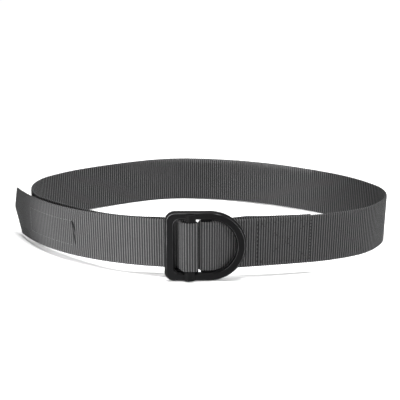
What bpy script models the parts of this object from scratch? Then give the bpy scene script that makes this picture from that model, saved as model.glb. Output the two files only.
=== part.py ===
"""Tactical belt: one strap of ribbed webbing that stands on edge as a loop, and a D-shaped friction buckle.

The belt is modelled level, in its own plan: X runs along the buckle from left to right, Y goes back
into the loop, and Z = 0 is the lower edge of the strap. An empty then tips the whole belt back by a
few degrees, as it stands on a table on the buckle's lower rail and the back of the strap.
"""

from collections import namedtuple
import math

import bmesh
import bpy
from mathutils import Matrix, Vector
from mathutils.geometry import intersect_ray_tri

MM = 0.001

# Clearance left between pieces that touch on the real belt
GAP = 0.3 * MM

# Webbing
STRAP_WIDTH = 45.3 * MM
STRAP_THICK = 2.0 * MM

# The buckle stands a little skewed to the loop, and its ring leans over in its own plane (degrees)
BUCKLE_YAW = 2.6
RING_LEAN = 0.8

# Buckle ring: straight on the left and half round on the right; its window has the same form
Dee = namedtuple("Dee", "left half round_at corner")
RING_FRONT = -6.6 * MM
RING_THICK = 3.4 * MM
RING_BACK = RING_FRONT + RING_THICK
RING_MIDDLE = 22.57 * MM
RING_OUTSIDE = Dee(-30.8 * MM, 32.5 * MM, 7.6 * MM, 8.8 * MM)
RING_WINDOW = Dee(-22.1 * MM, 24.7 * MM, 6.5 * MM, 4.3 * MM)

# Cross-section of the ring: each line runs round it, so far in from its edge and behind its front, in mm
Line = namedtuple("Line", "inset depth")
OUTSIDE_LINES = (
    Line(0.5, 3.4),
    Line(0.0, 2.9),
    Line(0.0, 1.1),
    Line(0.5, 0.35),
    Line(1.7, 0.0),
)
WINDOW_LINES = (
    Line(1.5, 0.0),
    Line(0.5, 0.4),
    Line(0.0, 1.2),
    Line(0.0, 2.9),
    Line(0.5, 3.4),
)

# Fixed bar behind the rails, that the sewn end of the strap goes round
BAR_CENTRE = (5.45 * MM, -2.3 * MM)
BAR_WIDTH = 10.0 * MM
BAR_THICK = 2.4 * MM
BAR_SEAT = 4.0 * MM

# Blocks that the buckle is made up of, with their places in mm in the buckle's plan
Block = namedtuple("Block", "name left right front back low high chamfer")
BAR_FOOT = Block("bar foot", 0.7, 21.0, -3.6, 3.0, -5.0, -0.35, 0.0)

# Slider: a flat bar inside the strap's fold, with blocks on its ends
SLIDER_NOSE = (-5.1 * MM, -5.5 * MM)
SLIDER_NOSE_RADIUS = 1.2 * MM
SLIDER_HEEL = (-10.4 * MM, -1.7 * MM)
SLIDER_HEEL_RADIUS = 5.0 * MM
SLIDER_LOW = -1.6 * MM
SLIDER_HIGH = 44.2 * MM
SLIDER_BLOCKS = (
    Block("upper stem", -12.5, -4.1, -6.5, -4.4, 43.0, 46.5, 0.0),
    Block("upper neck", -12.5, -3.6, -8.4, -3.6, 45.65, 47.0, 0.0),
    Block("upper tab", -12.5, -3.6, -8.4, -6.9, 45.65, 52.4, 0.4),
    Block("lower neck", -13.7, -4.8, -8.4, -0.8, -1.6, -0.35, 0.0),
    Block("lower tab", -13.7, -4.8, -8.4, -6.9, -8.8, -0.35, 0.4),
    Block("lower foot", -22.8, -1.4, -2.9, 5.0, -5.0, -0.35, 0.0),
)

# Folds of the strap round the two bars, to the strap's middle line
SLIDER_FOLD = SLIDER_NOSE_RADIUS + GAP + STRAP_THICK / 2
SLIDER_ENTRY = -30.0
HEEL_FOLD = SLIDER_HEEL_RADIUS + GAP + STRAP_THICK / 2
HEEL_TURN = -75.0
TAIL_FOLD = 5.7 * MM
BAR_FOLD = BAR_THICK / 2 + GAP + STRAP_THICK / 2
BAR_EXIT = (9.6 * MM, 8.0)
BAND_PASS = ((17.9 * MM, -1.7 * MM), 17.0)

# Plan of the loop from the buckle's right, round the back, to its left: runs in mm, turns in degrees
Bend = namedtuple("Bend", "run turn")
LOOP_START = (30.0 * MM, 0.3 * MM)
LOOP_HEADING = 8.7
LOOP_BENDS = (
    Bend(66, 2.1),
    Bend(46, 14.2),
    Bend(32, 28.3),
    Bend(5, 0.0),
    Bend(47.6, 72.8),
    Bend(5, 0.0),
    Bend(44, 20.4),
    Bend(50, 7.8),
    Bend(100, 22.3),
    Bend(50, 22.7),
    Bend(70, 11.4),
    Bend(36, 15.1),
    Bend(42, 57.1),
    Bend(30, 37.6),
    Bend(62, 12.1),
    Bend(54, 25.5),
)

# The free end outside the loop, from the buckle's left to its pointed tip
TAIL_START = (-34.0 * MM, 2.4 * MM)
TAIL_HEADING = 172.7
TAIL_BENDS = (
    Bend(40, -9.6),
    Bend(40, -10.1),
    Bend(44, -15.4),
    Bend(37.8, -14.0),
)
TIP_LOW_CUT = 13.0 * MM
TIP_HIGH_CUT = 7.6 * MM
TIP_POINT = 24.0 * MM
TIP_BLUNT = 1.0 * MM

# The sewn end lies inside the loop: how far it stands off the strap at distances along it, in mm
Standoff = namedtuple("Standoff", "along gap")
FOLD_BACK = (
    Standoff(0, 2.6),
    Standoff(24, 0.9),
    Standoff(48, 0.4),
    Standoff(68, 0.3),
)

# The sewn end lies a little askew: it climbs from its cut edge to a distance, then comes level behind the buckle
SEWN_RISE = 1.5 * MM
SEWN_RAISED = 58.0 * MM
SEWN_LEVEL = 74.0 * MM

# Fineness of the curves
STEP_TURN = 12.0
STEP_RUN = 9.0 * MM
GLIDE_STEPS = 10
ROUND_STEPS = 10
NOSE_STEPS = 24

# Densities in kg per cubic metre, for how the belt rests
WEBBING_DENSITY = 1010.0
STEEL_DENSITY = 7850.0

# Colour, roughness and metallic value of each finish
Finish = namedtuple("Finish", "colour roughness metallic")
WEBBING = Finish((0.085, 0.085, 0.088), 0.75, 0.0)
BLACK_METAL = Finish((0.012, 0.012, 0.013), 0.38, 0.6)
SLIDER_METAL = Finish((0.016, 0.016, 0.017), 0.34, 0.6)


class Trail:
    """The middle line of the strap seen from above, drawn the way a pen would draw it."""

    def __init__(self, start, heading):
        self.points = [Vector(start)]
        self.headings = [math.radians(heading)]

    def bend(self, run, turn):
        """Goes on for a length while turning left by some degrees, in equal steps."""
        steps = max(1, math.ceil(abs(turn) / STEP_TURN), math.ceil(run / STEP_RUN))
        for _ in range(steps):
            half = math.radians(turn) / steps / 2
            heading = self.headings[-1] + half
            step = Vector((math.cos(heading), math.sin(heading))) * run / steps
            self.points.append(self.points[-1] + step)
            self.headings.append(heading + half)

    def fold(self, radius, turn):
        """Turns left by some degrees on a circle of the given radius."""
        self.bend(radius * math.radians(abs(turn)), turn)

    def glide(self, end, heading):
        """Goes smoothly to a point and heading, on a cubic curve."""
        start, end = self.points[-1], Vector(end)
        way = math.radians(heading)
        reach = (end - start).length / 3
        leave = start + Vector((math.cos(self.headings[-1]), math.sin(self.headings[-1]))) * reach
        arrive = end - Vector((math.cos(way), math.sin(way))) * reach
        for step in range(1, GLIDE_STEPS + 1):
            t = step / GLIDE_STEPS
            u = 1 - t
            self.points.append(u**3 * start + 3 * u * u * t * leave + 3 * u * t * t * arrive + t**3 * end)
            slope = u * u * (leave - start) + 2 * u * t * (arrive - leave) + t * t * (end - arrive)
            self.headings.append(math.atan2(slope.y, slope.x))

    def follow(self, other):
        """Takes over the points of another trail that begins where this one ends."""
        self.points += other.points[1:]
        self.headings += other.headings[1:]


def seat(point):
    """Turns a place in the buckle's own plan into the plan of the belt."""
    return Matrix.Rotation(math.radians(BUCKLE_YAW), 2) @ Vector(point)


def loop_trail():
    """The plan of the loop between the two sides of the buckle."""
    trail = Trail(LOOP_START, LOOP_HEADING)
    for row in LOOP_BENDS:
        trail.bend(row.run * MM, row.turn)
    return trail


def standoff(along):
    """Space between the sewn end and the strap at a distance along the loop."""
    for near, far in zip(FOLD_BACK, FOLD_BACK[1:]):
        if along <= far.along * MM:
            share = (along / MM - near.along) / (far.along - near.along)
            return (near.gap + share * (far.gap - near.gap)) * MM
    return FOLD_BACK[-1].gap * MM


def sewn_end(loop):
    """Points of the sewn end, from its cut edge back to the buckle, inside the start of the loop."""
    points = []
    along = 0.0
    for here, heading, following in zip(loop.points, loop.headings, loop.points[1:]):
        if along > FOLD_BACK[-1].along * MM:
            break
        inward = Vector((-math.sin(heading), math.cos(heading)))
        points.append(here + inward * (STRAP_THICK + standoff(along)))
        along += (following - here).length
    return points[::-1]


def strap_trail():
    """The whole strap: sewn end, fixed bar, loop, slider and free end."""
    loop = loop_trail()
    inside = sewn_end(loop)
    last = inside[-1] - inside[-2]
    trail = Trail(inside[-1], math.degrees(math.atan2(last.y, last.x)))
    trail.glide(seat((BAR_CENTRE[0], BAR_CENTRE[1] + BAR_FOLD)), BUCKLE_YAW - 180.0)
    trail.bend((BAR_WIDTH - BAR_THICK) / 2, 0.0)
    trail.fold(BAR_FOLD, 180.0)
    trail.glide(seat((BAR_EXIT[0], BAR_CENTRE[1] - BAR_FOLD)), BUCKLE_YAW + BAR_EXIT[1])
    trail.glide(seat(BAND_PASS[0]), BUCKLE_YAW + BAND_PASS[1])
    trail.glide(LOOP_START, LOOP_HEADING)
    trail.follow(loop)
    entry = math.radians(SLIDER_ENTRY)
    nose = Vector(SLIDER_NOSE)
    behind = nose - SLIDER_FOLD * Vector((math.sin(entry), -math.cos(entry)))
    trail.glide(seat(behind), BUCKLE_YAW + SLIDER_ENTRY)
    trail.fold(SLIDER_FOLD, -180.0 - SLIDER_ENTRY)
    trail.bend(nose.x - SLIDER_HEEL[0], 0.0)
    trail.fold(HEEL_FOLD, HEEL_TURN)
    trail.fold(TAIL_FOLD, math.remainder(TAIL_HEADING - math.degrees(trail.headings[-1]), 360.0))
    trail.glide(TAIL_START, TAIL_HEADING)
    for row in TAIL_BENDS:
        trail.bend(row.run * MM, row.turn)
    low_only = TIP_LOW_CUT - TIP_HIGH_CUT
    trail.bend(low_only, 0.0)
    trail.bend(TIP_HIGH_CUT, 0.0)
    return inside[:-1] + trail.points


def edges_at(along, rest):
    """Heights of the strap's lower and upper edge at a distance from the sewn end and short of the tip."""
    low_share = min(rest / TIP_LOW_CUT, 1.0)
    high_share = min(rest / TIP_HIGH_CUT, 1.0)
    low = (TIP_POINT - TIP_BLUNT) * (1 - low_share)
    high = TIP_POINT + TIP_BLUNT + (STRAP_WIDTH - TIP_POINT - TIP_BLUNT) * high_share
    rise = SEWN_RISE * max(min(along / SEWN_RAISED, (SEWN_LEVEL - along) / (SEWN_LEVEL - SEWN_RAISED)), 0.0)
    return low + rise, high + rise


def material(name, look):
    """A plain Principled material."""
    made = bpy.data.materials.new(name)
    made.use_nodes = True
    shader = made.node_tree.nodes["Principled BSDF"]
    shader.inputs["Base Color"].default_value = (*look.colour, 1.0)
    shader.inputs["Roughness"].default_value = look.roughness
    shader.inputs["Metallic"].default_value = look.metallic
    return made


def add(mesh, name, collection):
    """Links a new object for a mesh or a curve."""
    made = bpy.data.objects.new(name, mesh)
    collection.objects.link(made)
    return made


def make_strap(collection):
    """The webbing: an upright ribbon along its plan, thickened to both sides."""
    points = strap_trail()
    alongs = [0.0]
    for here, following in zip(points, points[1:]):
        alongs.append(alongs[-1] + (following - here).length)
    shape = bmesh.new()
    columns = []
    for point, along in zip(points, alongs):
        columns.append([shape.verts.new((*point, height)) for height in edges_at(along, alongs[-1] - along)])
    for here, following in zip(columns, columns[1:]):
        shape.faces.new((here[0], following[0], following[1], here[1]))
    strap = finish(shape, "strap", collection)
    wall = strap.modifiers.new("webbing thickness", "SOLIDIFY")
    wall.thickness = STRAP_THICK
    wall.offset = 0.0
    wall.use_even_offset = True
    strap.data.materials.append(material("grey webbing", WEBBING))
    return strap


def quarter(centre, radius, start, steps):
    """Points of a quarter circle, anticlockwise from an angle in degrees, both ends included."""
    turns = [math.radians(start + 90 * step / steps) for step in range(steps + 1)]
    return [(centre[0] + radius * math.cos(t), centre[1] + radius * math.sin(t)) for t in turns]


def dee_points(form, inset):
    """Points of a D about its middle, anticlockwise: small corners on the left, half round on the right."""
    left, half, corner = form.left + inset, form.half - inset, form.corner - inset
    points = quarter((left + corner, corner - half), corner, 180, ROUND_STEPS)
    points += quarter((form.round_at, 0.0), half, 270, NOSE_STEPS)
    points += quarter((form.round_at, 0.0), half, 0, NOSE_STEPS)[1:]
    return points + quarter((left + corner, half - corner), corner, 90, ROUND_STEPS)


def finish(shape, name, collection):
    """Turns a working mesh into an object."""
    mesh = bpy.data.meshes.new(name)
    shape.to_mesh(mesh)
    shape.free()
    return add(mesh, name, collection)


def prism(name, outline, low, high, collection):
    """An upright prism on an outline in plan, between two heights."""
    shape = bmesh.new()
    base = shape.faces.new([shape.verts.new((*point, low)) for point in outline])
    risen = bmesh.ops.extrude_face_region(shape, geom=[base])
    top = [item for item in risen["geom"] if isinstance(item, bmesh.types.BMVert)]
    bmesh.ops.translate(shape, vec=(0.0, 0.0, high - low), verts=top)
    bmesh.ops.recalc_face_normals(shape, faces=shape.faces)
    return finish(shape, name, collection)


def block_solid(row, collection):
    """A box in the places of its row, with chamfered edges where the row asks for them."""
    shape = bmesh.new()
    bmesh.ops.create_cube(shape, size=1.0)
    low = Vector((row.left, row.front, row.low)) * MM
    size = Vector((row.right, row.back, row.high)) * MM - low
    bmesh.ops.scale(shape, vec=size, verts=shape.verts)
    bmesh.ops.translate(shape, vec=low + size / 2, verts=shape.verts)
    made = finish(shape, row.name, collection)
    if row.chamfer:
        edge = made.modifiers.new("edge", "BEVEL")
        edge.width = row.chamfer * MM
        edge.segments = 1
    return made


def join(target, piece):
    """Joins a helper piece to a solid, and keeps the helper out of the model."""
    piece.hide_render = True
    piece.display_type = "WIRE"
    union = target.modifiers.new("with " + piece.name, "BOOLEAN")
    union.operation = "UNION"
    union.solver = "EXACT"
    union.object = piece


def make_frame(collection, helpers):
    """The D ring, lofted along the lines of its cross-section, with the fixed bar seated on its back."""
    shape = bmesh.new()
    lines = [(line.depth, dee_points(RING_OUTSIDE, line.inset * MM)) for line in OUTSIDE_LINES]
    lines += [(line.depth, dee_points(RING_WINDOW, -line.inset * MM)) for line in WINDOW_LINES]
    rings = []
    for depth, points in lines:
        behind = RING_FRONT + depth * MM
        rings.append([shape.verts.new((across, behind, up)) for across, up in points])
    for ring, following in zip(rings, rings[1:] + rings[:1]):
        for corner in range(len(ring)):
            before = corner - 1
            shape.faces.new((ring[before], ring[corner], following[corner], following[before]))
    bmesh.ops.recalc_face_normals(shape, faces=shape.faces)
    frame = finish(shape, "buckle_frame", collection)
    frame.location = (0.0, 0.0, RING_MIDDLE)
    frame.rotation_euler = (0.0, math.radians(RING_LEAN), 0.0)
    reach = (BAR_WIDTH - BAR_THICK) / 2
    outline = []
    for start in (-90, 0, 90, 180):
        side = reach if start < 90 else -reach
        outline += quarter((side, 0.0), BAR_THICK / 2, start, ROUND_STEPS // 2)[start in (0, 180):]
    half = RING_WINDOW.half + BAR_SEAT
    bar = prism("fixed bar", outline, -half, half, helpers)
    bar.location = (*BAR_CENTRE, RING_MIDDLE)
    foot = block_solid(BAR_FOOT, helpers)
    join(frame, bar)
    join(frame, foot)
    frame.data.materials.append(material("black buckle", BLACK_METAL))
    return [frame, bar, foot]


def make_slider(collection, helpers):
    """The sliding bar: a rounded body under the strap, and a tab over the front of each rail."""
    back = SLIDER_NOSE[1] + SLIDER_NOSE_RADIUS
    outline = quarter(SLIDER_NOSE, SLIDER_NOSE_RADIUS, 270, ROUND_STEPS // 2)
    outline += quarter(SLIDER_NOSE, SLIDER_NOSE_RADIUS, 0, ROUND_STEPS // 2)[1:]
    end = math.acos((SLIDER_HEEL[1] - back) / SLIDER_HEEL_RADIUS)
    for step in range(ROUND_STEPS + 1):
        turn = end * (1 - step / ROUND_STEPS)
        across = SLIDER_HEEL[0] - SLIDER_HEEL_RADIUS * math.sin(turn)
        outline.append((across, SLIDER_HEEL[1] - SLIDER_HEEL_RADIUS * math.cos(turn)))
    slider = prism("slider_bar", outline, SLIDER_LOW, SLIDER_HIGH, collection)
    blocks = [block_solid(row, helpers) for row in SLIDER_BLOCKS]
    for piece in blocks:
        join(slider, piece)
    slider.data.materials.append(material("black slider", SLIDER_METAL))
    return [slider, *blocks]


def body_of(piece, density):
    """A finished piece's vertices in world coordinates, with its mass and the moment of its mass."""
    bpy.context.view_layer.update()
    view = bpy.context.evaluated_depsgraph_get()
    shape = bmesh.new()
    shape.from_object(piece, view)
    bmesh.ops.transform(shape, matrix=piece.matrix_world, verts=shape.verts)
    bmesh.ops.triangulate(shape, faces=shape.faces)
    corners = [vertex.co.copy() for vertex in shape.verts]
    mass, moment = 0.0, Vector()
    for face in shape.faces:
        near, middle, far = (vertex.co for vertex in face.verts)
        part = density * near.dot(middle.cross(far)) / 6
        mass += part
        moment += part * (near + middle + far) / 4
    shape.free()
    return corners, mass, moment


def stand(root, weights):
    """Turns the belt onto the side of its convex hull that its own weight keeps it on, and centres it."""
    bodies = [body_of(piece, density) for piece, density in weights]
    corners = [corner for body in bodies for corner in body[0]]
    centre = sum((body[2] for body in bodies), Vector()) / sum(body[1] for body in bodies)
    hull = bmesh.new()
    for corner in corners:
        hull.verts.new(corner)
    bmesh.ops.convex_hull(hull, input=hull.verts)
    bmesh.ops.recalc_face_normals(hull, faces=hull.faces)
    for side in sorted(hull.faces, key=lambda face: face.normal.z):
        if intersect_ray_tri(*(vertex.co for vertex in side.verts), side.normal, centre):
            break
    turn = side.normal.rotation_difference(Vector((0.0, 0.0, -1.0)))
    hull.free()
    turned = [turn @ corner for corner in corners]
    low = [min(corner[axis] for corner in turned) for axis in range(3)]
    high = [max(corner[axis] for corner in turned) for axis in range(3)]
    root.rotation_mode = "QUATERNION"
    root.rotation_quaternion = turn
    root.location = (-(low[0] + high[0]) / 2, -(low[1] + high[1]) / 2, -low[2])


def main():
    """Clears the file and builds the belt."""
    for item in list(bpy.data.objects):
        bpy.data.objects.remove(item)
    belt = bpy.data.collections.new("tactical belt")
    helpers = bpy.data.collections.new("helpers")
    bpy.context.scene.collection.children.link(belt)
    bpy.context.scene.collection.children.link(helpers)
    root = add(None, "belt", belt)
    buckle = add(None, "buckle", belt)
    buckle.rotation_euler = (0.0, 0.0, math.radians(BUCKLE_YAW))
    strap = make_strap(belt)
    metal = make_frame(belt, helpers) + make_slider(belt, helpers)
    for item in (strap, buckle):
        item.parent = root
    for item in metal:
        item.parent = buckle
    solid_metal = [piece for piece in metal if not piece.hide_render]
    stand(root, [(strap, WEBBING_DENSITY)] + [(piece, STEEL_DENSITY) for piece in solid_metal])


main()
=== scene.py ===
"""Tactical belt in its studio: ribbed webbing with its sewing, and a black D-shaped friction buckle.

Lengths are metres. The belt is built level, in its own plan: X runs along the buckle, Y goes back into the
loop and Z = 0 is the lower edge of the strap. STANCE then tips each finished mesh onto the table.
"""

import logging
import math
from dataclasses import dataclass, field
from enum import Enum
from typing import Iterable, NamedTuple, Sequence

import bmesh
import bpy
import numpy as np
from mathutils import Matrix, Quaternion, Vector


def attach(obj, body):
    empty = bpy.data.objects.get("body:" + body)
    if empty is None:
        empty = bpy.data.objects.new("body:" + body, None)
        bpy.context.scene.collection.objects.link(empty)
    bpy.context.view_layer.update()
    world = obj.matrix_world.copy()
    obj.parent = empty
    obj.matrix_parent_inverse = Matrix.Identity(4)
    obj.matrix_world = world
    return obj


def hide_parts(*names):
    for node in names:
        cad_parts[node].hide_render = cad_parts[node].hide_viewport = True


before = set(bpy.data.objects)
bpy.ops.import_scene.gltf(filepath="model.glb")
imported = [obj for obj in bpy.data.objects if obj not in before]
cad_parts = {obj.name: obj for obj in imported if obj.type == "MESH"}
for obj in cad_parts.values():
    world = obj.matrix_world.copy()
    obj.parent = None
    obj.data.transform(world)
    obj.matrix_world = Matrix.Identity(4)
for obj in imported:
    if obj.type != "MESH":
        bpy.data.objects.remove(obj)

MM = 0.001
LOG = logging.getLogger("belt")
BODY = "root"
DEPTH_AXIS = (0.0, 1.0, 0.0)
UPRIGHT_AXIS = (0.0, 0.0, 1.0)

# Share of the ribs' depth and of their painted groove shade that is left at the strap's tip
TIP_RIBS = 0.3

# How much every rounded edge of the buckle is rubbed, where 1 is down to the pale metal
RUBBED_EVERYWHERE = 0.04


class Face(Enum):
    """Which face of the strap something lies on, as the sign of its normal."""

    OUTER = -1.0
    INNER = 1.0


@dataclass(frozen=True)
class Stance:
    """How the level belt is turned and moved to stand on the table by its own weight."""

    turn: Quaternion
    place: Vector

    def matrix(self) -> Matrix:
        """The move from the belt's own plan to the row frame."""
        return Matrix.Translation(self.place) @ self.turn.to_matrix().to_4x4()


STANCE = Stance(
    Quaternion((0.99963826, -0.02613802, -0.00633551, 0.0)),
    Vector((0.00222277, -0.08596246, 0.00974968)),
)


def piece_from(shape: bmesh.types.BMesh, name: str, material: bpy.types.Material) -> bpy.types.Object:
    """Stands a finished working mesh on the table and links it as one dressed piece.

    Args:
        shape: The working mesh, in the belt's own plan. It is used up.
        name: The piece's name.
        material: Its finish.

    Returns:
        The new object, at the origin.
    """
    bmesh.ops.transform(shape, matrix=STANCE.matrix(), verts=shape.verts)
    for face in shape.faces:
        face.smooth = True
    mesh = bpy.data.meshes.new(name)
    shape.to_mesh(mesh)
    shape.free()
    made = bpy.data.objects.new(name, mesh)
    made.data.materials.append(material)
    bpy.context.scene.collection.objects.link(made)
    return made


# Plan of the strap


class Bend(NamedTuple):
    """A stretch of the strap in plan: its length in mm, and how far it turns left in degrees."""

    run: float
    turn: float


class Standoff(NamedTuple):
    """Space in mm between the sewn end and the strap, at a distance in mm along the loop."""

    along: float
    gap: float


class Pen:
    """Draws the strap's middle line in plan as bends, folds and smooth glides."""

    STEP_TURN = 2.5
    STEP_RUN = 1.5 * MM
    GLIDE_STEPS = 28

    def __init__(self, start: Sequence[float], heading: float) -> None:
        """Sets the pen down at a place, with the way it points in degrees."""
        self.points = [Vector(start)]
        self.headings = [math.radians(heading)]

    def bend(self, run: float, turn: float) -> None:
        """Goes on for a length while turning left.

        Args:
            run: The length.
            turn: The whole turn in degrees.
        """
        steps = max(1, math.ceil(abs(turn) / self.STEP_TURN), math.ceil(run / self.STEP_RUN))
        for _ in range(steps):
            half = math.radians(turn) / steps / 2
            heading = self.headings[-1] + half
            step = Vector((math.cos(heading), math.sin(heading))) * run / steps
            self.points.append(self.points[-1] + step)
            self.headings.append(heading + half)

    def fold(self, radius: float, turn: float) -> None:
        """Turns left on a circle, by an angle in degrees."""
        self.bend(radius * math.radians(abs(turn)), turn)

    def glide(self, end: Sequence[float], heading: float) -> None:
        """Goes to a place on a cubic curve.

        Args:
            end: The place.
            heading: The way it points there, in degrees.
        """
        start, goal = self.points[-1], Vector(end)
        way = math.radians(heading)
        reach = (goal - start).length / 3
        leave = start + Vector((math.cos(self.headings[-1]), math.sin(self.headings[-1]))) * reach
        arrive = goal - Vector((math.cos(way), math.sin(way))) * reach
        for step in range(1, self.GLIDE_STEPS + 1):
            t = step / self.GLIDE_STEPS
            u = 1 - t
            self.points.append(u**3 * start + 3 * u * u * t * leave + 3 * u * t * t * arrive + t**3 * goal)
            slope = u * u * (leave - start) + 2 * u * t * (arrive - leave) + t * t * (goal - arrive)
            self.headings.append(math.atan2(slope.y, slope.x))

    def follow(self, other: "Pen") -> None:
        """Takes over the points of a line that begins where this one ends."""
        self.points += other.points[1:]
        self.headings += other.headings[1:]

    def length(self) -> float:
        """The length drawn so far."""
        return sum((b - a).length for a, b in zip(self.points, self.points[1:]))


@dataclass
class Buckle:
    """Sizes that the strap's folds and the buckle's parts share, in the buckle's own plan."""

    yaw: float = 2.6
    clearance: float = 0.3 * MM
    bar_centre: tuple[float, float] = (5.45 * MM, -2.3 * MM)
    bar_width: float = 10.0 * MM
    bar_thick: float = 2.4 * MM
    nose: tuple[float, float] = (-5.1 * MM, -5.5 * MM)
    nose_radius: float = 1.2 * MM
    heel: tuple[float, float] = (-10.4 * MM, -1.7 * MM)
    heel_radius: float = 5.0 * MM

    def seat(self, point: Sequence[float]) -> Vector:
        """Turns a place in the buckle's own plan into the belt's plan."""
        return Matrix.Rotation(math.radians(self.yaw), 2) @ Vector(point)

    def matrix(self) -> Matrix:
        """The turn of the buckle's parts in the belt's plan."""
        return Matrix.Rotation(math.radians(self.yaw), 4, "Z")


@dataclass
class Course:
    """The strap's whole middle line, from its sewn end to its tip."""

    buckle: Buckle
    thick: float = 2.0 * MM
    loop_start: tuple[float, float] = (30.0 * MM, 0.3 * MM)
    loop_heading: float = 8.7
    loop: tuple[Bend, ...] = (
        Bend(66, 2.1),
        Bend(46, 14.2),
        Bend(32, 28.3),
        Bend(5, 0.0),
        Bend(47.6, 72.8),
        Bend(5, 0.0),
        Bend(44, 20.4),
        Bend(50, 7.8),
        Bend(100, 22.3),
        Bend(50, 22.7),
        Bend(70, 11.4),
        Bend(36, 15.1),
        Bend(42, 57.1),
        Bend(30, 37.6),
        Bend(62, 12.1),
        Bend(54, 25.5),
    )
    tail_start: tuple[float, float] = (-34.0 * MM, 2.4 * MM)
    tail_heading: float = 172.7
    tail: tuple[Bend, ...] = (
        Bend(40, -9.6),
        Bend(40, -10.1),
        Bend(44, -15.4),
        Bend(37.8, -14.0),
        Bend(13.0, 0.0),
    )
    fold_back: tuple[Standoff, ...] = (
        Standoff(0, 2.6),
        Standoff(24, 0.9),
        Standoff(48, 0.4),
        Standoff(68, 0.3),
    )
    slider_entry: float = -30.0
    heel_turn: float = -75.0
    tail_fold: float = 5.7 * MM
    bar_exit: tuple[float, float] = (9.6 * MM, 8.0)
    band_pass: tuple[float, float, float] = (17.9 * MM, -1.7 * MM, 17.0)
    marks: dict[str, float] = field(default_factory=dict)

    def __post_init__(self) -> None:
        """Draws the line and keeps it as arrays of distance, place and heading."""
        pen = self._draw()
        points = np.array([tuple(point) for point in pen.points])
        steps = np.linalg.norm(np.diff(points, axis=0), axis=1)
        self.along = np.concatenate([[0.0], np.cumsum(steps)])
        self.points = points
        self.headings = np.unwrap(np.array(pen.headings))
        self.length = float(self.along[-1])

    def _standoff(self, along: float) -> float:
        """Space between the sewn end and the strap at a distance along the loop."""
        rows = np.array(self.fold_back)
        return float(np.interp(along / MM, rows[:, 0], rows[:, 1])) * MM

    def _sewn_end(self, loop: Pen) -> Pen:
        """Draws the sewn end inside the start of the loop, from its cut edge to the buckle.

        Args:
            loop: The pen that drew the loop.

        Returns:
            A pen that has drawn the sewn end and stands at the buckle.
        """
        places, along = [], 0.0
        for here, heading, following in zip(loop.points, loop.headings, loop.points[1:]):
            if along > self.fold_back[-1].along * MM:
                break
            inward = Vector((-math.sin(heading), math.cos(heading)))
            places.append((here + inward * (self.thick + self._standoff(along)), heading + math.pi))
            along += (following - here).length
        places.reverse()
        made = Pen(places[0][0], math.degrees(places[0][1]))
        made.points = [place for place, _ in places]
        made.headings = [heading for _, heading in places]
        return made

    def _draw(self) -> Pen:
        """Draws the strap: sewn end, fixed bar, loop, slider and free end.

        Returns:
            The pen that has drawn it.
        """
        buckle = self.buckle
        loop = Pen(self.loop_start, self.loop_heading)
        for row in self.loop:
            loop.bend(row.run * MM, row.turn)
        pen = self._sewn_end(loop)
        bar_fold = buckle.bar_thick / 2 + buckle.clearance + self.thick / 2
        slider_fold = buckle.nose_radius + buckle.clearance + self.thick / 2
        heel_fold = buckle.heel_radius + buckle.clearance + self.thick / 2
        pen.glide(buckle.seat((buckle.bar_centre[0], buckle.bar_centre[1] + bar_fold)), buckle.yaw - 180.0)
        pen.bend((buckle.bar_width - buckle.bar_thick) / 2, 0.0)
        pen.fold(bar_fold, 180.0)
        exit_x, exit_heading = self.bar_exit
        pen.glide(buckle.seat((exit_x, buckle.bar_centre[1] - bar_fold)), buckle.yaw + exit_heading)
        pen.glide(buckle.seat(self.band_pass[:2]), buckle.yaw + self.band_pass[2])
        pen.glide(self.loop_start, self.loop_heading)
        self.marks["loop"] = pen.length()
        pen.follow(loop)
        entry = math.radians(self.slider_entry)
        nose = Vector(buckle.nose)
        behind = nose - slider_fold * Vector((math.sin(entry), -math.cos(entry)))
        pen.glide(buckle.seat(behind), buckle.yaw + self.slider_entry)
        pen.fold(slider_fold, -180.0 - self.slider_entry)
        pen.bend(buckle.nose[0] - buckle.heel[0], 0.0)
        pen.fold(heel_fold, self.heel_turn)
        pen.fold(self.tail_fold, math.remainder(self.tail_heading - math.degrees(pen.headings[-1]), 360.0))
        pen.glide(self.tail_start, self.tail_heading)
        self.marks["tail"] = pen.length()
        for row in self.tail:
            pen.bend(row.run * MM, row.turn)
        return pen

    def at(self, along: np.ndarray) -> tuple[np.ndarray, np.ndarray]:
        """Places and headings at distances along the strap.

        Args:
            along: Distances from the sewn end.

        Returns:
            Points in plan, one row each, and headings in radians.
        """
        x = np.interp(along, self.along, self.points[:, 0])
        y = np.interp(along, self.along, self.points[:, 1])
        return np.stack([x, y], axis=-1), np.interp(along, self.along, self.headings)

    def along_at(self, across: float, start: float, end: float) -> float:
        """Finds where a stretch of the strap passes an X.

        Args:
            across: The X.
            start: Distance from the sewn end to the start of the stretch.
            end: Distance from the sewn end to the end of the stretch.

        Returns:
            The distance from the sewn end.
        """
        inside = (self.along >= start) & (self.along <= end)
        nearest = np.argmin(np.abs(self.points[inside, 0] - across))
        return float(self.along[inside][nearest])


# Finishes


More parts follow.
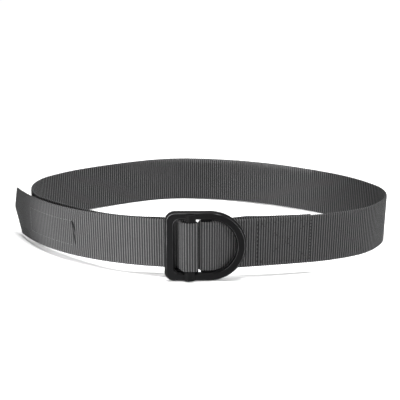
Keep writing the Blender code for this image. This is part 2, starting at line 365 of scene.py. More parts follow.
class Graph:
    """Adds shader nodes to one material in few words."""

    def __init__(self, name: str) -> None:
        """Starts a material with a plain Principled shader.

        Args:
            name: The material's name.
        """
        self.material = bpy.data.materials.new(name)
        self.material.use_nodes = True
        self.tree = self.material.node_tree
        self.shader = self.tree.nodes["Principled BSDF"]

    def node(self, kind: str, inputs: dict | None = None, **settings: object) -> bpy.types.Node:
        """Adds a node.

        Args:
            kind: Its type without the leading ShaderNode.
            inputs: Values or sockets for its inputs, by name or number.
            settings: Properties of the node.

        Returns:
            The node.
        """
        made = self.tree.nodes.new("ShaderNode" + kind)
        for key, value in settings.items():
            setattr(made, key, value)
        for key, value in (inputs or {}).items():
            if isinstance(value, bpy.types.NodeSocket):
                self.tree.links.new(value, made.inputs[key])
            else:
                made.inputs[key].default_value = value
        return made

    def math(self, operation: str, *values: object) -> bpy.types.NodeSocket:
        """The result of a Math node on values or sockets."""
        return self.node("Math", dict(enumerate(values)), operation=operation).outputs[0]

    def noise(
        self, coordinates: bpy.types.NodeSocket, scale: float, detail: float = 2.0
    ) -> bpy.types.NodeSocket:
        """The value of a Noise node at a scale."""
        inputs = {"Vector": coordinates, "Scale": scale, "Detail": detail}
        return self.node("TexNoise", inputs).outputs[0]

    def spread(
        self, value: bpy.types.NodeSocket, low: float, high: float, to_low: float, to_high: float
    ) -> bpy.types.NodeSocket:
        """A value moved from one range to another, held inside it."""
        inputs = {0: value, 1: low, 2: high, 3: to_low, 4: to_high}
        return self.node("MapRange", inputs).outputs[0]

    def blend(self, share: object, first: object, second: object) -> bpy.types.NodeSocket:
        """A colour between two colours."""
        made = self.node("Mix", {0: share, 6: first, 7: second}, data_type="RGBA")
        return made.outputs[2]

    def paint(self, colour: bpy.types.NodeSocket, roughness: object) -> None:
        """Gives the shader its colour and roughness.

        Args:
            colour: The colour's socket.
            roughness: A value or a socket.
        """
        self.tree.links.new(colour, self.shader.inputs["Base Color"])
        if isinstance(roughness, bpy.types.NodeSocket):
            self.tree.links.new(roughness, self.shader.inputs["Roughness"])
        else:
            self.shader.inputs["Roughness"].default_value = roughness

    def emboss(self, height: bpy.types.NodeSocket, depth: float) -> None:
        """Bumps the shader's surface by heights from 0 to 1, where 1 stands for a depth in metres."""
        bump = self.node("Bump", {"Height": height, "Distance": depth, "Strength": 1.0})
        self.tree.links.new(bump.outputs[0], self.shader.inputs["Normal"])

    def preset(self, **values: float) -> None:
        """Sets values on the shader's own sockets, named with spaces as underscores."""
        for key, value in values.items():
            self.shader.inputs[key.replace("_", " ")].default_value = value


@dataclass(frozen=True)
class WebbingFinish:
    """Charcoal nylon yarn: painted shade in the grooves between the ribs, warp yarns over each rib and a
    soft sheen.
    """

    pitch: float
    fade_from: float
    fade_to: float
    crest: tuple[float, float, float] = (0.069, 0.069, 0.07)
    # The groove colour is painted shade: the dark between the ribs where less light falls.
    groove: tuple[float, float, float] = (0.0125, 0.0125, 0.0128)
    yarn: float = 0.62 * MM
    relief: float = 0.14 * MM
    fibre_scale: float = 2600.0
    fleck_scale: float = 700.0
    tone_scale: float = 28.0

    def make(self) -> bpy.types.Material:
        """Builds the material, which reads the strap's UV map in metres.

        Returns:
            The material.
        """
        graph = Graph("webbing")
        place = graph.node("UVMap", uv_map="weave").outputs[0]
        parts = graph.node("SeparateXYZ", {0: place})
        along, height = parts.outputs[0], parts.outputs[1]
        turn = graph.math("MULTIPLY", along, 2 * math.pi / self.pitch)
        rib = graph.spread(graph.math("COSINE", turn), -1.0, 1.0, 0.0, 1.0)
        fade = graph.spread(along, self.fade_from, self.fade_to, 1.0, TIP_RIBS)
        rib = graph.math("ADD", graph.math("MULTIPLY", rib, fade), graph.spread(fade, 0.0, 1.0, 0.66, 0.0))
        row = graph.math("FLOOR", graph.math("MULTIPLY", along, 1 / self.pitch))
        shift = graph.math("MULTIPLY", row, math.pi)
        across = graph.math("ADD", graph.math("MULTIPLY", height, 2 * math.pi / self.yarn), shift)
        yarns = graph.spread(graph.math("SINE", across), -1.0, 1.0, 0.0, 1.0)
        object_place = graph.node("TexCoord").outputs["Object"]
        fibres = graph.noise(object_place, self.fibre_scale, 3.0)
        tone = graph.noise(object_place, self.tone_scale)
        flecks = graph.noise(object_place, self.fleck_scale)
        # Painted shade: each rib's colour darkens from its crest into the grooves, and less so towards the
        # tip.
        crown = graph.spread(rib, 0.42, 0.92, 0.0, 1.0)
        light = graph.math("MULTIPLY", crown, graph.spread(yarns, 0.0, 0.8, 0.72, 1.0))
        light = graph.math("MULTIPLY", light, graph.spread(flecks, 0.3, 0.7, 0.75, 1.1))
        light = graph.math("MULTIPLY", light, graph.spread(tone, 0.3, 0.7, 0.92, 1.06))
        colour = graph.blend(light, (*self.groove, 1.0), (*self.crest, 1.0))
        loose = graph.spread(rib, 0.2, 0.8, 0.3, 0.0)
        graph.paint(colour, graph.math("ADD", loose, graph.spread(fibres, 0.3, 0.7, 0.46, 0.62)))
        woven = graph.math("ADD", graph.math("MULTIPLY", yarns, 0.7), graph.math("MULTIPLY", fibres, 0.5))
        graph.emboss(woven, self.relief)
        graph.preset(Sheen_Weight=0.03, Sheen_Roughness=0.45, Specular_IOR_Level=0.15)
        return graph.material


@dataclass(frozen=True)
class ThreadFinish:
    """Twisted sewing thread."""

    name: str = "black thread"
    colour: tuple[float, float, float] = (0.007, 0.007, 0.0075)
    gloss: float = 0.12
    roughness: float = 0.7
    shade: float = 0.6
    twist: float = 0.35 * MM
    relief: float = 0.05 * MM

    def make(self) -> bpy.types.Material:
        """Builds the material on Object coordinates.

        Returns:
            The material.
        """
        graph = Graph(self.name)
        place = graph.node("TexCoord").outputs["Object"]
        grain = graph.noise(place, 1 / self.twist)
        dark = tuple(self.shade * value for value in self.colour)
        graph.paint(graph.blend(grain, (*dark, 1.0), (*self.colour, 1.0)), self.roughness)
        graph.emboss(grain, self.relief)
        graph.preset(Specular_IOR_Level=self.gloss)
        return graph.material


@dataclass(frozen=True)
class CoatedSteel:
    """Black coated steel: a fine grain in the coat, rougher in places, and paler on its edges, partly worn
    coat and partly painted highlight.
    """

    name: str
    colour: tuple[float, float, float] = (0.0022, 0.0022, 0.0024)
    pale_wear_and_highlight: tuple[float, float, float] = (0.20, 0.20, 0.205)
    roughness: tuple[float, float] = (0.36, 0.48)
    gloss: float = 0.07
    grain_scale: float = 2400.0
    patch_scale: float = 120.0
    relief: float = 0.012 * MM

    def make(self) -> bpy.types.Material:
        """Builds the material, which reads from the attribute rub how much pale colour each place gets, for
        wear and for painted highlights.

        Returns:
            The material.
        """
        graph = Graph(self.name)
        place = graph.node("TexCoord").outputs["Object"]
        grain = graph.noise(place, self.grain_scale, 3.0)
        patches = graph.noise(place, self.patch_scale, 3.0)
        wear_and_highlight = graph.node("Attribute", attribute_name="wear_and_highlight").outputs["Fac"]
        # The pale colour is worn coat on every edge and painted highlights near listed places.
        wear_and_highlight_share = graph.math("MULTIPLY", wear_and_highlight, graph.spread(patches, 0.35, 0.65, 0.35, 1.0))
        colour = graph.blend(wear_and_highlight_share, (*self.colour, 1.0), (*self.pale_wear_and_highlight, 1.0))
        graph.paint(colour, graph.spread(patches, 0.3, 0.7, *self.roughness))
        graph.emboss(grain, self.relief)
        graph.preset(Metallic=0.0, Specular_IOR_Level=self.gloss)
        return graph.material


# The strap


class SectionRow(NamedTuple):
    """A line along the strap: how far in from its edge in mm, and its share of the half thickness."""

    inset: float
    share: float


@dataclass
class Strap:
    """The webbing, ribbed across, with its clipped tip."""

    course: Course
    width: float = 45.3 * MM
    pitch: float = 2.17 * MM
    columns_a_rib: int = 8
    rib_power: float = 0.7
    groove: float = 0.62 * MM
    scallop: float = 0.6 * MM
    proud: float = 0.15 * MM
    fade: tuple[float, float] = (115.0 * MM, 48.0 * MM)
    rows: tuple[SectionRow, ...] = (
        SectionRow(0.0, 0.0),
        SectionRow(0.18, 0.55),
        SectionRow(0.62, 0.88),
        SectionRow(1.7, 1.0),
        SectionRow(22.65, 1.0),
    )
    tip_low_cut: float = 13.0 * MM
    tip_high_cut: float = 7.6 * MM
    tip_point: float = 24.0 * MM
    tip_blunt: float = 1.0 * MM
    sewn_rise: float = 1.5 * MM
    sewn_level: tuple[float, float] = (58.0 * MM, 74.0 * MM)

    def ridge(self, along: np.ndarray) -> np.ndarray:
        """Height of the ribs at distances along the strap: 1 on a rib and 0 in a groove."""
        return np.abs(np.cos(np.pi * along / self.pitch)) ** self.rib_power

    def edges(self, along: np.ndarray) -> tuple[np.ndarray, np.ndarray]:
        """Works out the strap's edges, which are clipped at its tip and raised along the sewn end.

        Args:
            along: Distances from the sewn end.

        Returns:
            Heights of the lower and of the upper edge.
        """
        rest = self.course.length - along
        low_share = np.clip(rest / self.tip_low_cut, 0.0, 1.0)
        high_share = np.clip(rest / self.tip_high_cut, 0.0, 1.0)
        low = (self.tip_point - self.tip_blunt) * (1 - low_share)
        peak = self.tip_point + self.tip_blunt
        rise = np.interp(along, (0.0, *self.sewn_level), (0.0, self.sewn_rise, 0.0))
        return low + rise, peak + (self.width - peak) * high_share + rise

    def make(self, finish: WebbingFinish) -> bpy.types.Object:
        """Cuts a tube into columns, presses it to the webbing's section and bends it along its course.

        Args:
            finish: The webbing's finish.

        Returns:
            The strap.
        """
        around = 4 * (len(self.rows) - 1)
        columns = round(self.course.length / self.pitch * self.columns_a_rib)
        shape = bmesh.new()
        bmesh.ops.create_cone(shape, cap_ends=True, segments=around, radius1=1.0, radius2=1.0, depth=1.0)
        long_edges = [edge for edge in shape.edges if abs(edge.verts[0].co.z - edge.verts[1].co.z) > 0.5]
        bmesh.ops.subdivide_edgering(shape, edges=long_edges, interp_mode="LINEAR", cuts=columns - 1)
        raw = np.array([tuple(vertex.co) for vertex in shape.verts])
        along = (raw[:, 2] + 0.5) * self.course.length
        quarter = len(self.rows) - 1
        step = np.rint(np.arctan2(raw[:, 1], raw[:, 0]) / (2 * math.pi / around)).astype(int) % around
        outer = step <= around // 2
        turned = np.where(outer, step, around - step)
        upper = turned <= quarter
        row = np.where(upper, turned, 2 * quarter - turned)
        table = np.array(self.rows)
        low, high = self.edges(along)
        squeeze = np.minimum(1.0, (high - low) / (2 * table[-1, 0] * MM))
        ridge = self.ridge(along)
        rim = np.clip(1 - table[row, 0] / table[2, 0], 0.0, 1.0)
        inset = table[row, 0] * MM * squeeze + rim * (self.scallop * (1 - ridge) - self.proud)
        height = np.where(upper, high - inset, low + inset)
        fade = np.interp(self.course.length - along, self.fade[::-1], (TIP_RIBS, 1.0))
        half = self.course.thick / 2 - self.groove * fade * (1 - ridge)
        depth = table[row, 1] * half * np.where(outer, -1.0, 1.0)
        place, heading = self.course.at(along)
        place[:, 0] -= np.sin(heading) * depth
        place[:, 1] += np.cos(heading) * depth
        for vertex, (x, y), z in zip(shape.verts, place, height):
            vertex.co = (x, y, z)
        bmesh.ops.recalc_face_normals(shape, faces=shape.faces)
        made = piece_from(shape, "webbing_strap", finish.make())
        weave = made.data.uv_layers.new(name="weave")
        corner = np.zeros(len(made.data.loops), np.int32)
        made.data.loops.foreach_get("vertex_index", corner)
        flat = np.stack([along, height], axis=-1)[corner]
        weave.data.foreach_set("uv", flat.astype(np.float32).ravel())
        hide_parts("strap")
        return made


class Seam(NamedTuple):
    """A line of stitches on the strap: its ends as places in X and heights in mm."""

    start_x: float
    start_height: float
    end_x: float
    end_height: float


def zigzag(left: float, right: float, low: float, high: float, pitch: float) -> tuple[Seam, ...]:
    """Short seams to and fro between two X while they climb.

    Args:
        left: One X in mm.
        right: The other X in mm.
        low: The lowest height in mm.
        high: The greatest height in mm.
        pitch: The climb of one seam in mm.

    Returns:
        The seams.
    """
    rungs = np.linspace(low, high, round((high - low) / pitch) + 1)
    sides = (left, right)
    pairs = enumerate(zip(rungs, rungs[1:]))
    return tuple(Seam(sides[k % 2], start, sides[(k + 1) % 2], end) for k, (start, end) in pairs)


@dataclass
class Sewing:
    """Lines of lock stitches through the strap."""

    strap: Strap
    name: str
    seams: tuple[Seam, ...]
    span: tuple[float, float]
    face: Face
    finish: ThreadFinish
    stitch: float = 2.9 * MM
    spacing: float = 3.4 * MM
    thread: float = 0.7 * MM
    sunk: float = 0.12 * MM

    def make(self) -> bpy.types.Object:
        """Sews the seams.

        Returns:
            All the stitches as one piece.
        """
        course = self.strap.course
        shape = bmesh.new()
        for seam in self.seams:
            ends = np.array([
                (course.along_at(seam.start_x * MM, *self.span), seam.start_height * MM),
                (course.along_at(seam.end_x * MM, *self.span), seam.end_height * MM),
            ])
            run = ends[1] - ends[0]
            count = max(1, round(float(np.linalg.norm(run)) / self.spacing))
            for number in range(count):
                along, height = ends[0] + run * (number + 0.5) / count
                (place,), (heading,) = course.at(np.array([along]))
                offset = self.face.value * (course.thick / 2 - self.sunk)
                where = Vector((
                    place[0] - math.sin(heading) * offset,
                    place[1] + math.cos(heading) * offset,
                    height,
                ))
                slope = math.atan2(run[1], run[0])
                turn = Matrix.Rotation(heading, 4, "Z") @ Matrix.Rotation(-slope, 4, "Y")
                size = Matrix.Diagonal((self.stitch / 2, self.thread / 2, self.thread / 2, 1.0))
                matrix = Matrix.Translation(where) @ turn @ size
                bmesh.ops.create_uvsphere(shape, u_segments=6, v_segments=5, radius=1.0, matrix=matrix)
        made = piece_from(shape, self.name, self.finish.make())
        return made


@dataclass
class BeltSewing:
    """The belt's sewing: two columns with a crossed box between them, a box near the tip and a tack."""

    strap: Strap
    black: ThreadFinish = ThreadFinish()
    grey: ThreadFinish = ThreadFinish("charcoal thread", (0.018, 0.018, 0.0185), 0.2)
    pale: ThreadFinish = ThreadFinish("pale charcoal thread", (0.066, 0.066, 0.067), 0.3)
    fold_reach: float = 100.0 * MM
    near_column: tuple[Seam, ...] = zigzag(49.2, 51.4, 1.8, 43.0, 1.9)
    far_column: tuple[Seam, ...] = (Seam(97.0, 3.0, 97.0, 42.0),)
    box_sides: tuple[float, float] = (51.5, 96.0)
    box_heights: tuple[float, float] = (4.0, 41.0)
    tail_box: tuple[Seam, ...] = (
        Seam(-157.0, 10.5, -157.0, 33.5),
        Seam(-157.0, 33.5, -113.5, 33.5),
        Seam(-157.0, 10.5, -113.5, 10.5),
    )
    tail_tack: tuple[Seam, ...] = (
        Seam(-113.4, 33.5, -111.2, 12.0),
        Seam(-112.6, 33.0, -111.6, 23.0),
    )

    def make(self) -> list[bpy.types.Object]:
        """Sews the fold at the buckle and the free end.

        Returns:
            The pieces of thread.
        """
        strap, marks = self.strap, self.strap.course.marks
        fold = (marks["loop"], marks["loop"] + self.fold_reach)
        tail = (marks["tail"], strap.course.length)
        rows = (
            Sewing(
                strap, "fold_stitches_outside", self.near_column, fold, Face.OUTER, self.black,
                thread=0.8 * MM,
            ),
            Sewing(
                strap, "far_stitches_outside", self.far_column, fold, Face.OUTER, self.black,
                stitch=1.6 * MM, spacing=2.9 * MM, thread=1.5 * MM, sunk=0.45 * MM,
            ),
            Sewing(
                strap, "fold_box_outside", self.crossed_box(), fold, Face.OUTER, self.grey,
                stitch=1.8 * MM, thread=0.9 * MM,
            ),
            Sewing(strap, "tail_stitches", self.tail_box, tail, Face.INNER, self.pale, thread=0.7 * MM),
            Sewing(
                strap, "tail_tack", self.tail_tack, tail, Face.INNER, self.black,
                spacing=1.6 * MM, thread=1.1 * MM,
            ),
        )
        return [row.make() for row in rows]

    def crossed_box(self) -> tuple[Seam, ...]:
        """The box's lower and upper side and its two diagonals. The columns are its other sides."""
        (left, right), (low, high) = self.box_sides, self.box_heights
        return (
            Seam(left, low, right, low),
            Seam(left, high, right, high),
            Seam(left, low, right, high),
            Seam(left, high, right, low),
        )


# The buckle


def spin_vertex(
    shape: bmesh.types.BMesh,
    vertex: bmesh.types.BMVert,
    centre: Sequence[float],
    axis: Sequence[float],
    angle: float,
    steps: int,
) -> bmesh.types.BMVert:
    """Draws an arc by spinning a vertex.

    Args:
        shape: The working mesh.
        vertex: The arc's first vertex.
        centre: Its centre.
        axis: The axis it turns about.
        angle: Its turn in degrees.
        steps: How many edges it has.

    Returns:
        The arc's last vertex.
    """
    turn = math.radians(angle)
    made = bmesh.ops.spin(shape, geom=[vertex], cent=centre, axis=axis, angle=turn, steps=steps)
    return next(item for item in made["geom_last"] if isinstance(item, bmesh.types.BMVert))


def extrude_vertex(
    shape: bmesh.types.BMesh, vertex: bmesh.types.BMVert, place: Sequence[float]
) -> bmesh.types.BMVert:
    """Draws a straight edge by extruding a vertex.

    Args:
        shape: The working mesh.
        vertex: The edge's first vertex.
        place: Where the edge ends.

    Returns:
        The edge's last vertex.
    """
    made = bmesh.ops.extrude_vert_indiv(shape, verts=[vertex])["verts"][0]
    made.co = place
    return made


@dataclass
class DeeLoop:
    """A closed D: straight on the left with round corners, and half round on the right."""

    left: float
    half: float
    round_at: float
    corner: float
    corner_steps: int = 8
    round_steps: int = 48

    def draw(self, shape: bmesh.types.BMesh, front: float) -> list[bmesh.types.BMEdge]:
        """Spins and extrudes one vertex round the D.

        Args:
            shape: The working mesh.
            front: The plane's Y.

        Returns:
            The edges of the loop.
        """
        before = set(shape.edges)
        turn_at, high = self.left + self.corner, self.half - self.corner
        upper, nose, lower = (turn_at, front, high), (self.round_at, front, 0.0), (turn_at, front, -high)
        first = shape.verts.new((self.left, front, high))
        last = spin_vertex(shape, first, upper, DEPTH_AXIS, 90.0, self.corner_steps)
        last = extrude_vertex(shape, last, (self.round_at, front, self.half))
        last = spin_vertex(shape, last, nose, DEPTH_AXIS, 180.0, self.round_steps)
        last = extrude_vertex(shape, last, (turn_at, front, -self.half))
        last = spin_vertex(shape, last, lower, DEPTH_AXIS, 90.0, self.corner_steps)
        shape.edges.new((last, first))
        return [edge for edge in shape.edges if edge not in before]


def soften(
    shape: bmesh.types.BMesh, edges: Iterable[bmesh.types.BMEdge], width: float, segments: int
) -> None:
    """Bevels edges of a working mesh.

    Args:
        shape: The working mesh.
        edges: The edges.
        width: The bevel's width.
        segments: Its steps.
    """
    bmesh.ops.bevel(
        shape,
        geom=list(edges),
        offset=width,
        offset_type="OFFSET",
        segments=segments,
        profile=0.5,
        affect="EDGES",
        material=-1,
        clamp_overlap=True,
    )


def sharp_edges(shape: bmesh.types.BMesh, angle: float) -> list[bmesh.types.BMEdge]:
    """Edges of a closed working mesh whose faces meet at more than an angle in degrees."""
    return [edge for edge in shape.edges if edge.calc_face_angle(0.0) > math.radians(angle)]


class PaintedHighlight(NamedTuple):
    """A painted highlight in the coat's pale colour: its X and height on the table and its reach in mm, and
    how much.
    """

    across: float
    height: float
    reach: float
    amount: float


def paint_wear_and_highlights(made: bpy.types.Object, narrow: float, places: Sequence[PaintedHighlight] = ()) -> None:
    """Writes the attribute rub on rounded edges: a little wear everywhere, and painted highlights near some
    places.

    Args:
        made: The finished piece.
        narrow: Faces with a side shorter than this belong to a rounded edge.
        places: Where highlights are painted.
    """
    shape = bmesh.new()
    shape.from_mesh(made.data)
    slim = {face: min(edge.calc_length() for edge in face.edges) < narrow for face in shape.faces}
    values = []
    for vertex in shape.verts:
        amount = RUBBED_EVERYWHERE
        for row in places:
            away = math.hypot(vertex.co.x / MM - row.across, vertex.co.z / MM - row.height)
            # Painted highlight: more pale colour near each place.
            amount = max(amount, row.amount * max(0.0, 1.0 - away / row.reach))
        values.append(amount * all(slim[face] for face in vertex.link_faces))
    shape.free()
    wear_and_highlight = made.data.attributes.new("wear_and_highlight", "FLOAT", "POINT")
    wear_and_highlight.data.foreach_set("value", values)


def weigh_normals(made: bpy.types.Object) -> None:
    """Keeps broad faces flat under smooth shading.

    Args:
        made: The finished piece.
    """
    weigh = made.modifiers.new("weighted normals", "WEIGHTED_NORMAL")
    weigh.mode = "FACE_AREA"
    weigh.weight = 60


class Block(NamedTuple):
    """A block of the buckle, in mm in its plan, with the width of its soft edges."""

    left: float
    right: float
    front: float
    back: float
    low: float
    high: float
    edge: float

    def add_to(self, shape: bmesh.types.BMesh) -> None:
        """Adds the block to a working mesh, with soft edges.

        Args:
            shape: The working mesh.
        """
        low = Vector((self.left, self.front, self.low)) * MM
        high = Vector((self.right, self.back, self.high)) * MM
        place, size = Matrix.Translation((low + high) / 2), Matrix.Diagonal((*(high - low), 1.0))
        made = bmesh.ops.create_cube(shape, size=1.0, matrix=place @ size)["verts"]
        soften(shape, {edge for vertex in made for edge in vertex.link_edges}, self.edge * MM, 2)


class Tab(NamedTuple):
    """A tab over the front of a rail, in mm in the buckle's plan: a plate whose front bulges on a radius."""

    left: float
    right: float
    crest: float
    back: float
    low: float
    high: float
    radius: float
    edge: float = 0.25
    sides: int = 96

    def add_to(self, shape: bmesh.types.BMesh) -> None:
        """Cuts the tab from an upright cylinder and adds it to a working mesh.

        Args:
            shape: The working mesh.
        """
        tab = bmesh.new()
        across, upwards = (self.left + self.right) / 2, (self.low + self.high) / 2
        bmesh.ops.create_cone(
            tab,
            cap_ends=True,
            segments=self.sides,
            radius1=self.radius * MM,
            radius2=self.radius * MM,
            depth=(self.high - self.low) * MM,
            matrix=Matrix.Translation(Vector((across, self.crest + self.radius, upwards)) * MM),
        )
        cuts = (
            ((self.left * MM, 0.0, 0.0), (-1.0, 0.0, 0.0)),
            ((self.right * MM, 0.0, 0.0), (1.0, 0.0, 0.0)),
            ((0.0, self.back * MM, 0.0), (0.0, 1.0, 0.0)),
        )
        for place, away in cuts:
            everything = [*tab.verts, *tab.edges, *tab.faces]
            cut = bmesh.ops.bisect_plane(
                tab, geom=everything, dist=1e-6, plane_co=place, plane_no=away, clear_outer=True
            )
            rim = [item for item in cut["geom_cut"] if isinstance(item, bmesh.types.BMEdge)]
            bmesh.ops.edgeloop_fill(tab, edges=rim)
        soften(tab, sharp_edges(tab, 35.0), self.edge * MM, 2)
        mesh = bpy.data.meshes.new("tab")
        tab.to_mesh(mesh)
        tab.free()
        shape.from_mesh(mesh)
        bpy.data.meshes.remove(mesh)


@dataclass
class BuckleFrame:
    """The D ring, chamfered all round, and the fixed bar seated behind its rails."""

    buckle: Buckle
    finish: CoatedSteel
    outside: DeeLoop = field(default_factory=lambda: DeeLoop(-30.8 * MM, 32.5 * MM, 7.6 * MM, 8.8 * MM))
    window: DeeLoop = field(default_factory=lambda: DeeLoop(-22.1 * MM, 24.7 * MM, 6.5 * MM, 4.3 * MM))
    front: float = -6.6 * MM
    thick: float = 3.4 * MM
    middle: float = 22.57 * MM
    lean: float = 0.8
    outer_chamfer: float = 1.7 * MM
    inner_chamfer: float = 1.5 * MM
    edge_round: float = 0.18 * MM
    back_round: float = 0.45 * MM
    narrow: float = 0.35 * MM
    bar_seat: float = 4.0 * MM
    # Painted highlights on the chamfers: round the right arc, where the top rail meets it, at the top-left
    # corner and down the left bar.
    painted_highlights: tuple[PaintedHighlight, ...] = (
        PaintedHighlight(40.0, 33.0, 34.0, 1.5),
        PaintedHighlight(17.0, 64.0, 4.0, 2.2),
        PaintedHighlight(-27.0, 60.0, 16.0, 1.3),
        PaintedHighlight(-30.0, 45.0, 30.0, 0.5),
    )
    foot: Block = Block(0.7, 21.0, -3.6, 3.0, -5.0, -0.35, 0.3)

    def make(self) -> bpy.types.Object:
        """Bridges the two Ds, extrudes them to a ring, chamfers it and adds the bar.

        Returns:
            The frame.
        """
        shape = bmesh.new()
        outer = self.outside.draw(shape, self.front)
        inner = self.window.draw(shape, self.front)
        bridged = bmesh.ops.bridge_loops(shape, edges=outer + inner)["faces"]
        risen = bmesh.ops.extrude_face_region(shape, geom=bridged)["geom"]
        back = [item for item in risen if isinstance(item, bmesh.types.BMVert)]
        bmesh.ops.translate(shape, vec=(0.0, self.thick, 0.0), verts=back)
        bmesh.ops.recalc_face_normals(shape, faces=shape.faces)
        behind = self.front + self.thick / 2
        rear = [edge for edge in sharp_edges(shape, 50.0) if all(v.co.y > behind for v in edge.verts)]
        soften(shape, rear, self.back_round, 2)
        soften(shape, [edge for edge in outer if edge.is_valid], self.outer_chamfer, 1)
        soften(shape, [edge for edge in inner if edge.is_valid], self.inner_chamfer, 1)
        ahead = self.front + self.thick * 0.6
        ridges = [edge for edge in sharp_edges(shape, 30.0) if all(v.co.y < ahead for v in edge.verts)]
        soften(shape, ridges, self.edge_round, 2)
        seat = Matrix.Translation((0.0, 0.0, self.middle)) @ Matrix.Rotation(math.radians(self.lean), 4, "Y")
        bmesh.ops.transform(shape, matrix=seat, verts=shape.verts)
        self._bar(shape)
        self.foot.add_to(shape)
        bmesh.ops.transform(shape, matrix=self.buckle.matrix(), verts=shape.verts)
        made = piece_from(shape, "buckle_ring", self.finish.make())
        paint_wear_and_highlights(made, self.narrow, self.painted_highlights)
        weigh_normals(made)
        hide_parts("buckle_frame")
        return made

    def _bar(self, shape: bmesh.types.BMesh) -> None:
        """Adds the fixed bar: a flat bar with round sides.

        Args:
            shape: The frame's working mesh.
        """
        half = self.window.half + self.bar_seat
        size = Matrix.Diagonal((self.buckle.bar_width, self.buckle.bar_thick, 2 * half, 1.0))
        place = Matrix.Translation((*self.buckle.bar_centre, self.middle))
        made = bmesh.ops.create_cube(shape, size=1.0, matrix=place @ size)["verts"]
        around = {edge for vertex in made for edge in vertex.link_edges}
        upright = {edge for edge in around if abs(edge.verts[0].co.z - edge.verts[1].co.z) > half}
        soften(shape, upright, self.buckle.bar_thick * 0.49, 4)


@dataclass
class Slider:
    """The sliding bar inside the strap's fold, with a tab over the front of each rail."""

    buckle: Buckle
    finish: CoatedSteel
    low: float = -1.6 * MM
    high: float = 44.2 * MM
    arc_steps: int = 10
    narrow: float = 0.3 * MM
    blocks: tuple[Block, ...] = (
        Block(-12.5, -4.1, -6.5, -4.4, 43.0, 46.5, 0.2),
        Block(-12.5, -3.6, -8.4, -3.6, 45.65, 47.0, 0.3),
        Block(-13.7, -4.8, -8.4, -0.8, -1.6, -0.35, 0.3),
        Block(-22.8, -1.4, -2.9, 5.0, -5.0, -0.35, 0.3),
    )
    tabs: tuple[Tab, ...] = (
        Tab(-12.5, -3.6, -8.9, -6.9, 45.65, 52.4, 6.1),
        Tab(-13.7, -4.8, -8.9, -6.9, -8.8, -0.35, 6.1),
    )

    def make(self) -> bpy.types.Object:
        """Draws the bar's round-nosed section, extrudes it and adds the blocks.

        Returns:
            The slider.
        """
        shape = bmesh.new()
        self._body(shape)
        for row in (*self.blocks, *self.tabs):
            row.add_to(shape)
        bmesh.ops.recalc_face_normals(shape, faces=shape.faces)
        bmesh.ops.transform(shape, matrix=self.buckle.matrix(), verts=shape.verts)
        made = piece_from(shape, "buckle_slider", self.finish.make())
        paint_wear_and_highlights(made, self.narrow)
        weigh_normals(made)
        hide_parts("slider_bar")
        return made

    def _body(self, shape: bmesh.types.BMesh) -> None:
        """Adds the bar itself: a round nose, a flat front and a rounded heel.

        Args:
            shape: The slider's working mesh.
        """
        nose, heel = Vector((*self.buckle.nose, 0.0)), Vector((*self.buckle.heel, 0.0))
        small, large = self.buckle.nose_radius, self.buckle.heel_radius
        back = nose.y + small
        end = math.acos((heel.y - back) / large)
        reach = Vector((-large * math.sin(end), -large * math.cos(end), 0.0))
        first = shape.verts.new((nose.x, nose.y - small, self.low))
        last = spin_vertex(shape, first, (nose.x, nose.y, self.low), UPRIGHT_AXIS, 180.0, self.arc_steps)
        last = extrude_vertex(shape, last, (heel.x + reach.x, heel.y + reach.y, self.low))
        turn = math.degrees(end)
        last = spin_vertex(shape, last, (heel.x, heel.y, self.low), UPRIGHT_AXIS, turn, self.arc_steps)
        shape.edges.new((last, first))
        base = bmesh.ops.contextual_create(shape, geom=list(shape.edges))["faces"]
        risen = bmesh.ops.extrude_face_region(shape, geom=base)["geom"]
        top = [item for item in risen if isinstance(item, bmesh.types.BMVert)]
        bmesh.ops.translate(shape, vec=(0.0, 0.0, self.high - self.low), verts=top)


# Studio


class Softbox(NamedTuple):
    """An area light: where it hangs, what it points at, its sides in metres and its power in watts."""

    name: str
    place: tuple[float, float, float]
    aim: tuple[float, float, float]
    sides: tuple[float, float]
    power: float


class Snoot(NamedTuple):
    """A lamp in a tube that lights one part of the set: its half-width in metres and its cone in degrees."""

    name: str
    place: tuple[float, float, float]
    aim: tuple[float, float, float]
    radius: float
    cone: float
    blend: float
    power: float


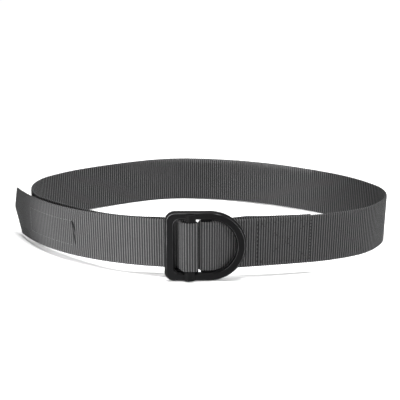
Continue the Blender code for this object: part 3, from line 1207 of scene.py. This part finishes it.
@dataclass
class Studio:
    """A pale floor, lamps at the left, at the right and above, and the photograph's camera."""

    eye: Vector = field(default_factory=lambda: Vector((0.0, -0.653, 0.30236)))
    down: float = 20.106
    focal: float = 820.0
    picture: float = 400.0
    sensor: float = 36.0
    floor: float = 12.0
    floor_tone: float = 0.86
    floor_roughness: float = 0.9
    ambient: float = 0.12
    overhead: float = 3.2
    overhead_spread: float = 20.0
    softboxes: tuple[Softbox, ...] = (
        Softbox("right softbox", (1.0, -0.75, 0.55), (0.0, -0.05, 0.03), (0.3, 0.4), 20.0),
        Softbox("loop panel", (0.0, -0.06, 0.5), (0.0, 0.09, 0.02), (0.26, 0.05), 2.4),
    )
    snoots: tuple[Snoot, ...] = (
        Snoot("left snoot", (-0.95, -1.0, 0.11), (-0.088, -0.07, 0.035), 0.02, 7.6, 0.3, 212.0),
        Snoot("inner snoot", (-0.6, -0.9, 0.9), (0.09, 0.05, 0.02), 0.05, 6.4, 1.0, 120.0),
    )

    def camera(self) -> None:
        """Places the camera where the photograph was taken from."""
        made = bpy.data.objects.new("camera", bpy.data.cameras.new("camera"))
        made.data.sensor_width = self.sensor
        made.data.lens = self.focal / self.picture * self.sensor
        made.data.clip_start, made.data.clip_end = 0.01, 50.0
        level = Matrix.Translation(self.eye) @ Matrix.Rotation(math.radians(90.0 - self.down), 4, "X")
        made.matrix_world = STANCE.matrix() @ level
        bpy.context.scene.collection.objects.link(made)
        bpy.context.scene.camera = made

    def light(self) -> None:
        """Hangs the lamps and sets the room's own light."""
        for row in self.softboxes:
            lamp = bpy.data.lights.new(row.name, "AREA")
            lamp.shape = "RECTANGLE"
            lamp.size, lamp.size_y = row.sides
            self._hang(lamp, row)
        for row in self.snoots:
            lamp = bpy.data.lights.new(row.name, "SPOT")
            lamp.shadow_soft_size = row.radius
            lamp.spot_size, lamp.spot_blend = math.radians(row.cone), row.blend
            self._hang(lamp, row)
        lamp = bpy.data.lights.new("overhead panel", "SUN")
        lamp.energy, lamp.angle = self.overhead, math.radians(self.overhead_spread)
        bpy.context.scene.collection.objects.link(bpy.data.objects.new("overhead panel", lamp))
        world = bpy.data.worlds.new("studio")
        world.use_nodes = True
        world.node_tree.nodes["Background"].inputs["Color"].default_value = (1.0, 1.0, 1.0, 1.0)
        world.node_tree.nodes["Background"].inputs["Strength"].default_value = self.ambient
        bpy.context.scene.world = world
        bpy.context.scene.view_settings.view_transform = "Standard"

    @staticmethod
    def _hang(lamp: bpy.types.Light, row: Softbox | Snoot) -> None:
        """Hangs a lamp where its row says and sets its power.

        Args:
            lamp: The lamp's data.
            row: Its row.
        """
        lamp.energy = row.power
        made = bpy.data.objects.new(row.name, lamp)
        made.location = row.place
        made.rotation_mode = "QUATERNION"
        made.rotation_quaternion = (Vector(row.aim) - Vector(row.place)).to_track_quat("-Z", "Y")
        bpy.context.scene.collection.objects.link(made)

    def ground(self) -> None:
        """Lays the floor."""
        shape = bmesh.new()
        bmesh.ops.create_grid(shape, x_segments=1, y_segments=1, size=self.floor)
        mesh = bpy.data.meshes.new("floor")
        shape.to_mesh(mesh)
        shape.free()
        made = bpy.data.objects.new("floor", mesh)
        graph = Graph("pale floor")
        graph.shader.inputs["Base Color"].default_value = (*[self.floor_tone] * 3, 1.0)
        graph.shader.inputs["Roughness"].default_value = self.floor_roughness
        made.data.materials.append(graph.material)
        bpy.context.scene.collection.objects.link(made)


def main() -> None:
    """Builds the belt, its studio and its camera."""
    logging.basicConfig(level=logging.INFO, format="%(message)s")
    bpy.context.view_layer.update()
    buckle = Buckle()
    course = Course(buckle)
    strap = Strap(course)
    webbing = WebbingFinish(strap.pitch, course.length - strap.fade[0], course.length - strap.fade[1])
    pieces = [
        strap.make(webbing),
        *BeltSewing(strap).make(),
        BuckleFrame(buckle, CoatedSteel("black coated buckle")).make(),
        Slider(buckle, CoatedSteel("black coated slider", gloss=0.06)).make(),
    ]
    for made in pieces:
        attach(made, BODY)
        LOG.info("%s: %d faces", made.name, len(made.data.polygons))
    studio = Studio()
    studio.ground()
    studio.light()
    studio.camera()


if __name__ == "__main__":
    main()
